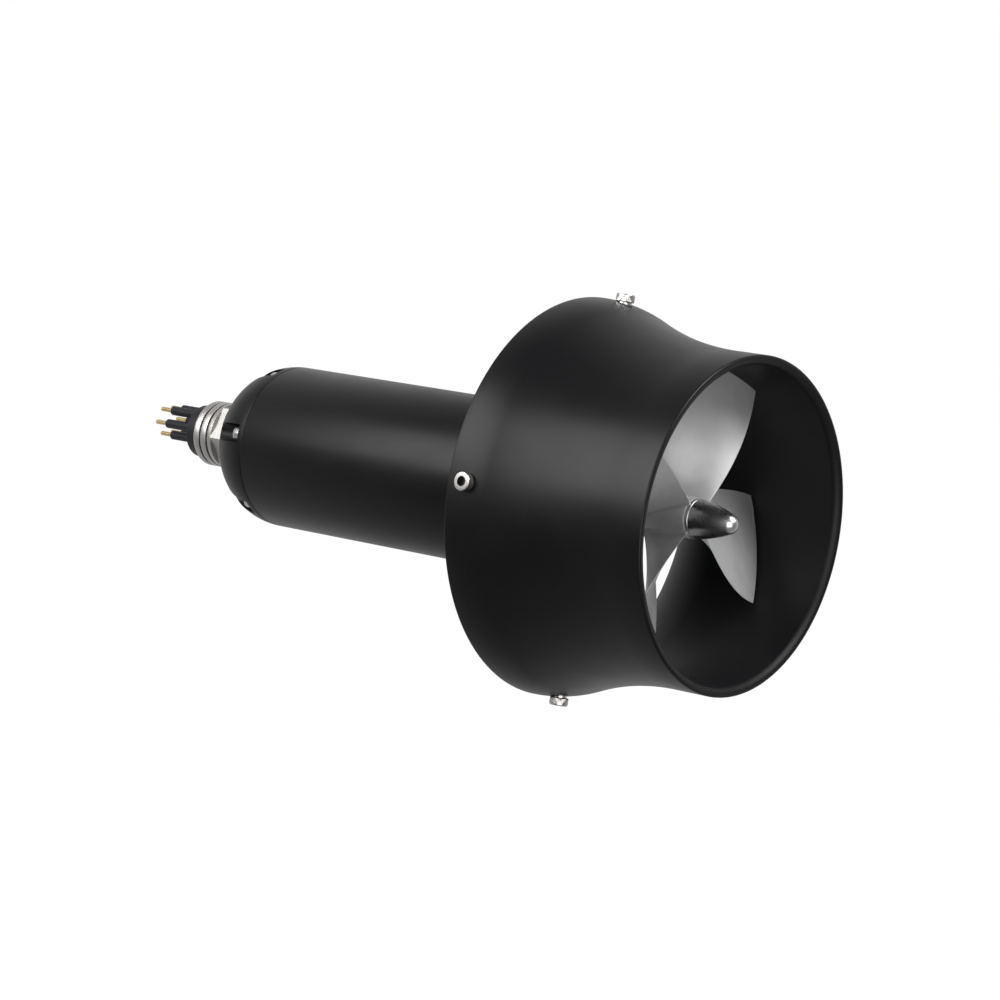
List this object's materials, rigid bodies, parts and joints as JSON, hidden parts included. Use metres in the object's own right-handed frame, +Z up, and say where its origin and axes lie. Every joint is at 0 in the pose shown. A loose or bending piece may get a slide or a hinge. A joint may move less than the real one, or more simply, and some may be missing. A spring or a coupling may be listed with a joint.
{
  "type": "underwater thruster",
  "caption": "Sealed electric underwater thruster: round motor housing with a domed rear cap and wet-mate connector, and a ducted propeller on struts at the front.",
  "frame": {"origin": "on the long axis, at the middle of the motor housing tube", "axes": "+X along the long axis towards the duct outlet, +Z up, +Y to the far side"},
  "size_m": [0.2385, 0.123, 0.123],
  "materials": {
    "black_anodised": "satin",
    "stainless": "polished",
    "propeller_metal": "polished",
    "black_rubber": "matte",
    "gold_contact": "polished",
    "bearing_steel": "polished",
    "lamination_steel": "satin",
    "copper_winding": "satin",
    "magnet": "satin",
    "bare_aluminium": "satin",
    "board_green": "satin",
    "black_component": "matte",
    "capacitor_sleeve": "gloss",
    "wire_insulation": "satin"
  },
  "bodies": {
    "thruster": {"motor_housing": "black_anodised", "rear_cap": "black_anodised", "rear_cap_oring": "black_rubber", "cap_screws": "stainless", "connector_shell": "stainless", "connector_insert": "black_rubber", "connector_pins": "gold_contact", "connector_oring": "black_rubber", "connector_nut": "stainless", "lead_wires": "wire_insulation", "controller_board": "board_green", "power_transistors": "black_component", "capacitors": "capacitor_sleeve", "board_standoffs": "gold_contact", "board_screws": "stainless", "phase_wires": "wire_insulation", "rear_bearing_plate": "bare_aluminium", "plate_snap_ring": "bearing_steel", "rear_outer_ring": "bearing_steel", "stator_core": "lamination_steel", "stator_coils": "copper_winding", "front_cap": "black_anodised", "front_cap_oring": "black_rubber", "front_cap_screws": "stainless", "front_outer_ring": "bearing_steel", "bearing_snap_ring": "bearing_steel", "shaft_seals": "black_rubber", "strut_spider": "black_anodised", "fairing_cone": "black_anodised", "duct": "black_anodised", "duct_screws": "stainless", "duct_washers": "stainless"},
    "rotor": {"shaft": "stainless", "rotor_core": "lamination_steel", "rotor_magnets": "magnet", "rear_spacer": "bare_aluminium", "rear_inner_ring": "bearing_steel", "front_inner_ring": "bearing_steel", "drive_pin": "stainless", "propeller": "propeller_metal", "prop_washer": "stainless", "nose_cone": "stainless"},
    "rear_ball_set": {"rear_cage": "gold_contact", "rear_balls": "bearing_steel"},
    "front_ball_set": {"front_cage": "gold_contact", "front_balls": "bearing_steel"}
  },
  "joints": [
    {"name": "propeller_spin", "type": "hinge", "parent": "thruster", "child": "rotor", "pos_m": [0, 0, 0], "axis": [1, 0, 0], "continuous": true},
    {"name": "rear_balls_orbit", "type": "hinge", "parent": "thruster", "child": "rear_ball_set", "pos_m": [-0.0255, 0, 0], "axis": [1, 0, 0], "continuous": true},
    {"name": "front_balls_orbit", "type": "hinge", "parent": "thruster", "child": "front_ball_set", "pos_m": [0.0525, 0, 0], "axis": [1, 0, 0], "continuous": true}
  ],
  "couplings": [
    {"joint": "rear_balls_orbit", "follows": "propeller_spin", "ratio": 0.36667},
    {"joint": "front_balls_orbit", "follows": "propeller_spin", "ratio": 0.36667}
  ]
}
